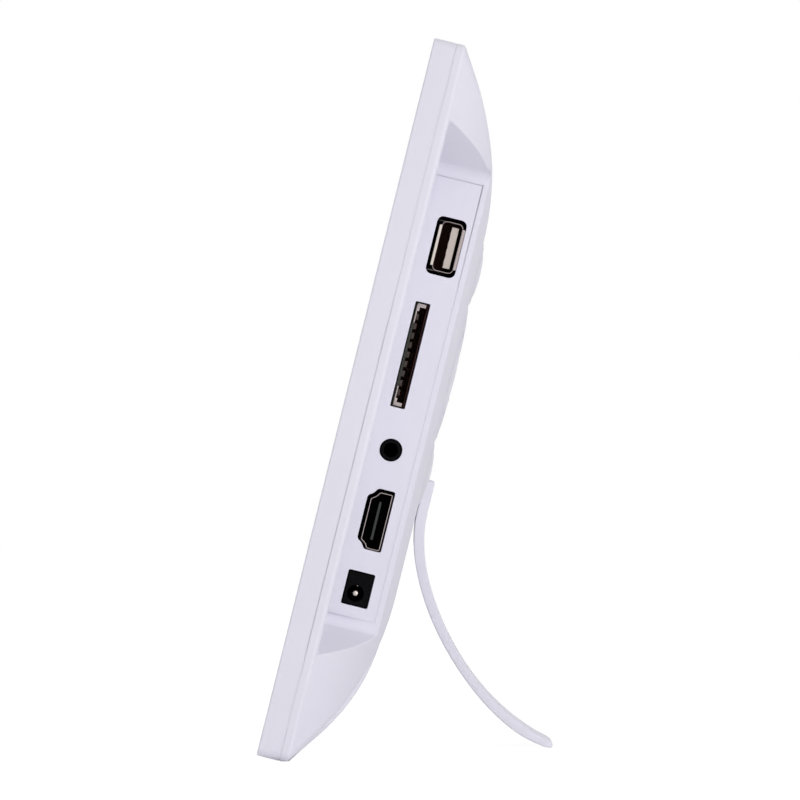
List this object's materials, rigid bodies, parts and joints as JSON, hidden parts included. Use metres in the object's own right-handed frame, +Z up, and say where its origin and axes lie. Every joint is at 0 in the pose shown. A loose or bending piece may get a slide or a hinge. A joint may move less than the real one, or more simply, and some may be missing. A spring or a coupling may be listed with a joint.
{
  "type": "digital photo frame",
  "caption": "White tabletop digital photo frame with a landscape screen, a scooped side bay of sockets, rear push keys and a curved plug-in leg.",
  "frame": {"origin": "middle of the underside of the box that holds the whole frame as it stands, on the table", "axes": "+X to the right of a person facing the screen, towards the sockets; +Y to the back, where the leg stands; +Z up. The screen faces -Y and leans back by 13.94 degrees"},
  "size_m": [0.266, 0.0738, 0.1762],
  "materials": {
    "white_casing": "satin white moulded plastic",
    "white_keys": "satin white moulded plastic",
    "white_leg": "satin white moulded plastic",
    "screen": "dark glossy screen, switched off",
    "pan_metal": "plain rolled sheet",
    "clear_plastic": "clear acrylic",
    "light_strip": "white circuit strip",
    "screw_steel": "nickel-plated steel",
    "board_green": "green lacquered circuit board",
    "black_plastic": "fine matt black plastic",
    "socket_steel": "bright nickel-plated sheet",
    "tongue_resin": "pale beige resin",
    "speaker_black": "dark pressed cone and basket",
    "ribbon_film": "amber polyimide film",
    "lead_cover": "black soft sheath"
  },
  "bodies": {
    "casing": {"audio_socket": "black_plastic", "board_screw_1": "screw_steel", "board_screw_2": "screw_steel", "board_screw_3": "screw_steel", "board_screw_4": "screw_steel", "bracket_screw_1": "screw_steel", "bracket_screw_2": "screw_steel", "bracket_screw_3": "screw_steel", "bracket_screw_4": "screw_steel", "card_carrier": "black_plastic", "card_shell": "socket_steel", "data_shell": "socket_steel", "data_tongue": "tongue_resin", "down_switch": "black_plastic", "exit_switch": "black_plastic", "front_bezel": "white_casing", "key_board": "board_green", "key_ribbon": "ribbon_film", "key_screw_1": "screw_steel", "key_screw_2": "screw_steel", "left_lead": "lead_cover", "left_speaker": "speaker_black", "left_switch": "black_plastic", "light_guide": "clear_plastic", "light_strip": "light_strip", "lower_bracket": "pan_metal", "main_board": "board_green", "main_chip": "black_plastic", "memory_chip": "black_plastic", "menu_switch": "black_plastic", "ok_switch": "black_plastic", "power_coil": "black_plastic", "power_pin": "socket_steel", "power_socket": "black_plastic", "rear_cover": "white_casing", "right_lead": "lead_cover", "right_speaker": "speaker_black", "right_switch": "black_plastic", "screen_cell": "screen", "screen_pan": "pan_metal", "screen_ribbon": "ribbon_film", "up_switch": "black_plastic", "upper_bracket": "pan_metal", "video_shell": "socket_steel", "video_tongue": "black_plastic"},
    "menu_button": {"menu_key": "white_keys", "menu_plunger": "black_plastic"},
    "exit_button": {"exit_key": "white_keys", "exit_plunger": "black_plastic"},
    "ok_button": {"ok_key": "white_keys", "ok_plunger": "black_plastic"},
    "right_button": {"right_key": "white_keys", "right_plunger": "black_plastic"},
    "up_button": {"up_key": "white_keys", "up_plunger": "black_plastic"},
    "left_button": {"left_key": "white_keys", "left_plunger": "black_plastic"},
    "down_button": {"down_key": "white_keys", "down_plunger": "black_plastic"},
    "leg": {"stand_leg": "white_leg"}
  },
  "joints": [
    {"name": "menu_press", "type": "slide", "parent": "casing", "child": "menu_button", "axis": [0, -0.9705, 0.2409], "range_m": [0, 0.0005], "stiffness_N_per_m": 400, "springref_m": -0.002},
    {"name": "exit_press", "type": "slide", "parent": "casing", "child": "exit_button", "axis": [0, -0.9705, 0.2409], "range_m": [0, 0.0005], "stiffness_N_per_m": 400, "springref_m": -0.002},
    {"name": "ok_press", "type": "slide", "parent": "casing", "child": "ok_button", "axis": [0, -0.9705, 0.2409], "range_m": [0, 0.0005], "stiffness_N_per_m": 400, "springref_m": -0.002},
    {"name": "right_press", "type": "slide", "parent": "casing", "child": "right_button", "axis": [0, -0.9705, 0.2409], "range_m": [0, 0.0005], "stiffness_N_per_m": 400, "springref_m": -0.002},
    {"name": "up_press", "type": "slide", "parent": "casing", "child": "up_button", "axis": [0, -0.9705, 0.2409], "range_m": [0, 0.0005], "stiffness_N_per_m": 400, "springref_m": -0.002},
    {"name": "left_press", "type": "slide", "parent": "casing", "child": "left_button", "axis": [0, -0.9705, 0.2409], "range_m": [0, 0.0005], "stiffness_N_per_m": 400, "springref_m": -0.002},
    {"name": "down_press", "type": "slide", "parent": "casing", "child": "down_button", "axis": [0, -0.9705, 0.2409], "range_m": [0, 0.0005], "stiffness_N_per_m": 400, "springref_m": -0.002},
    {"name": "leg_unplug", "type": "slide", "parent": "casing", "child": "leg", "axis": [0, -0.2409, -0.9705], "range_m": [0, 0.01]}
  ]
}
